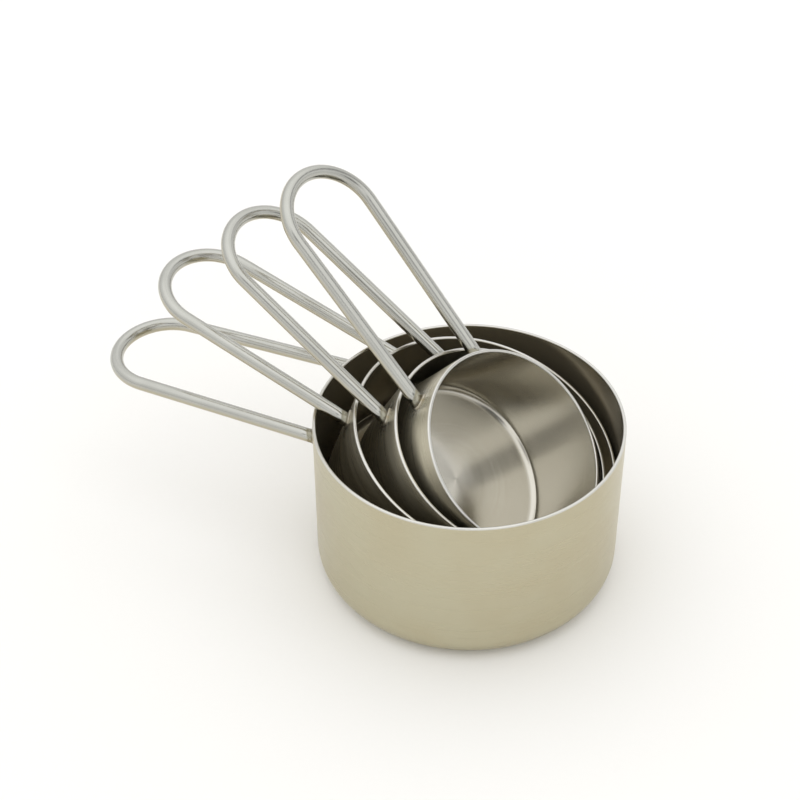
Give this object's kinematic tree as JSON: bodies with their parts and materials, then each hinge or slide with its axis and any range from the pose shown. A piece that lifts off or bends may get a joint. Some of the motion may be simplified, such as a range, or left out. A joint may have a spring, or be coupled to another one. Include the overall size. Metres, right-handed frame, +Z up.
{
  "type": "measuring cup set",
  "caption": "Nested round steel measuring cups with straight walls and long bent-wire loop handles, fanned out, for measuring dry or wet ingredients.",
  "frame": {"origin": "centre of the underside of the largest cup's base, where the set stands", "axes": "+Z up; the handles point towards -X and, fanned, towards +Y; the smaller cups lean towards +X and -Y"},
  "size_m": [0.1426, 0.0963, 0.1036],
  "materials": {
    "bowl_steel": "satin, finely brushed round the cup",
    "wire_steel": "satin, drawn along the wire",
    "weld_steel": "matt, lightly heat-tinted"
  },
  "bodies": {
    "full_cup": {"cup_full_bowl": "bowl_steel", "cup_full_handle": "wire_steel", "cup_full_weld_left": "weld_steel", "cup_full_weld_right": "weld_steel"},
    "half_cup": {"cup_half_bowl": "bowl_steel", "cup_half_handle": "wire_steel", "cup_half_weld_left": "weld_steel", "cup_half_weld_right": "weld_steel"},
    "third_cup": {"cup_third_bowl": "bowl_steel", "cup_third_handle": "wire_steel", "cup_third_weld_left": "weld_steel", "cup_third_weld_right": "weld_steel"},
    "quarter_cup": {"cup_quarter_bowl": "bowl_steel", "cup_quarter_handle": "wire_steel", "cup_quarter_weld_left": "weld_steel", "cup_quarter_weld_right": "weld_steel"}
  },
  "joints": [
    {"name": "half_lift", "type": "slide", "parent": "full_cup", "child": "half_cup", "axis": [0, 0, 1], "range_m": [0, 0.052]},
    {"name": "third_lift", "type": "slide", "parent": "half_cup", "child": "third_cup", "axis": [0.1029, 0.0182, 0.9945], "range_m": [0, 0.038]},
    {"name": "quarter_turn", "type": "hinge", "parent": "third_cup", "child": "quarter_cup", "pos_m": [-0.00377, -0.00024, 0.01966], "axis": [0.4107, -0.2576, 0.8746], "range_deg": [-50, 50]}
  ]
}
